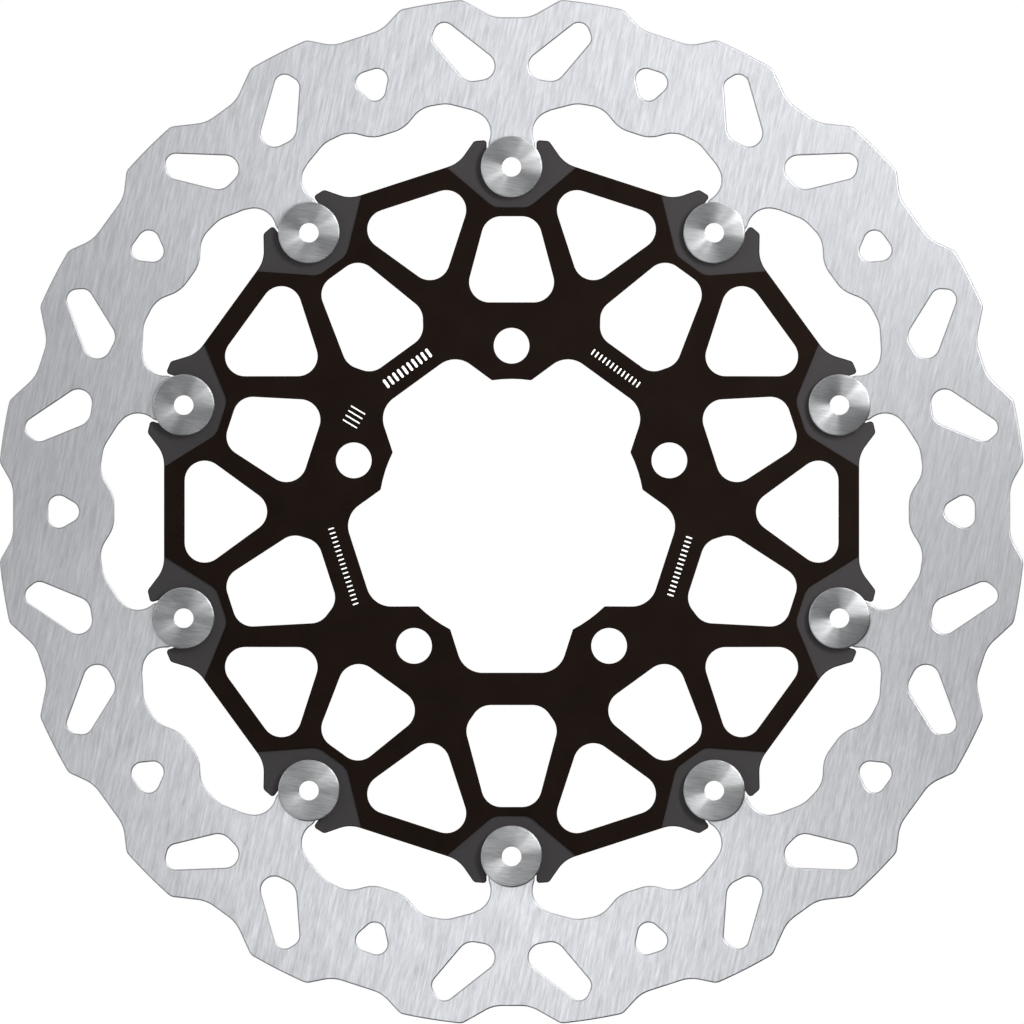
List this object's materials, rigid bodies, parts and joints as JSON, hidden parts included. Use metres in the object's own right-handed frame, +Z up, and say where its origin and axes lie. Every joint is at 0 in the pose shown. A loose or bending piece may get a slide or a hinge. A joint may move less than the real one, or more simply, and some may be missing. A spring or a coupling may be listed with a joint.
{
  "type": "motorcycle brake disc rotor",
  "caption": "Floating wave brake disc: slotted stainless friction ring held on a black spoked hub carrier by round drive bobbins, upright with its axis along Y.",
  "frame": {"origin": "centre of the disc, on its axis, in the middle of the friction ring's thickness", "axes": "+Y along the disc's axis towards the wheel hub side, -Y towards the outer face with the bobbin heads, +Z up through one bolt hole and one bobbin, +X to the right seen from the outer face"},
  "size_m": [0.3084, 0.0098, 0.3084],
  "materials": {
    "ring": "brushed stainless",
    "carrier": "black anodised, satin",
    "bobbin": "satin turned",
    "wave_washer": "spring steel",
    "back_washer": "zinc plated"
  },
  "bodies": {
    "carrier": {"carrier": "carrier"},
    "ring": {"friction_ring": "ring"},
    "bobbin_01": {"bobbin_01": "bobbin", "wave_washer_01": "wave_washer", "back_washer_01": "back_washer"},
    "bobbin_02": {"bobbin_02": "bobbin", "wave_washer_02": "wave_washer", "back_washer_02": "back_washer"},
    "bobbin_03": {"bobbin_03": "bobbin", "wave_washer_03": "wave_washer", "back_washer_03": "back_washer"},
    "bobbin_04": {"bobbin_04": "bobbin", "wave_washer_04": "wave_washer", "back_washer_04": "back_washer"},
    "bobbin_05": {"bobbin_05": "bobbin", "wave_washer_05": "wave_washer", "back_washer_05": "back_washer"},
    "bobbin_06": {"bobbin_06": "bobbin", "wave_washer_06": "wave_washer", "back_washer_06": "back_washer"},
    "bobbin_07": {"bobbin_07": "bobbin", "wave_washer_07": "wave_washer", "back_washer_07": "back_washer"},
    "bobbin_08": {"bobbin_08": "bobbin", "wave_washer_08": "wave_washer", "back_washer_08": "back_washer"},
    "bobbin_09": {"bobbin_09": "bobbin", "wave_washer_09": "wave_washer", "back_washer_09": "back_washer"},
    "bobbin_10": {"bobbin_10": "bobbin", "wave_washer_10": "wave_washer", "back_washer_10": "back_washer"}
  },
  "joints": [
    {"name": "ring_float", "type": "slide", "parent": "carrier", "child": "ring", "axis": [0, 1, 0], "range_m": [-0.00025, 0.00025]},
    {"name": "bobbin_spin_01", "type": "hinge", "parent": "carrier", "child": "bobbin_01", "pos_m": [0, 0, 0.1039], "axis": [0, 1, 0], "continuous": true},
    {"name": "bobbin_spin_02", "type": "hinge", "parent": "carrier", "child": "bobbin_02", "pos_m": [0.06107, 0, 0.08406], "axis": [0, 1, 0], "continuous": true},
    {"name": "bobbin_spin_03", "type": "hinge", "parent": "carrier", "child": "bobbin_03", "pos_m": [0.09882, 0, 0.03211], "axis": [0, 1, 0], "continuous": true},
    {"name": "bobbin_spin_04", "type": "hinge", "parent": "carrier", "child": "bobbin_04", "pos_m": [0.09882, 0, -0.03211], "axis": [0, 1, 0], "continuous": true},
    {"name": "bobbin_spin_05", "type": "hinge", "parent": "carrier", "child": "bobbin_05", "pos_m": [0.06107, 0, -0.08406], "axis": [0, 1, 0], "continuous": true},
    {"name": "bobbin_spin_06", "type": "hinge", "parent": "carrier", "child": "bobbin_06", "pos_m": [0, 0, -0.1039], "axis": [0, 1, 0], "continuous": true},
    {"name": "bobbin_spin_07", "type": "hinge", "parent": "carrier", "child": "bobbin_07", "pos_m": [-0.06107, 0, -0.08406], "axis": [0, 1, 0], "continuous": true},
    {"name": "bobbin_spin_08", "type": "hinge", "parent": "carrier", "child": "bobbin_08", "pos_m": [-0.09882, 0, -0.03211], "axis": [0, 1, 0], "continuous": true},
    {"name": "bobbin_spin_09", "type": "hinge", "parent": "carrier", "child": "bobbin_09", "pos_m": [-0.09882, 0, 0.03211], "axis": [0, 1, 0], "continuous": true},
    {"name": "bobbin_spin_10", "type": "hinge", "parent": "carrier", "child": "bobbin_10", "pos_m": [-0.06107, 0, 0.08406], "axis": [0, 1, 0], "continuous": true}
  ]
}
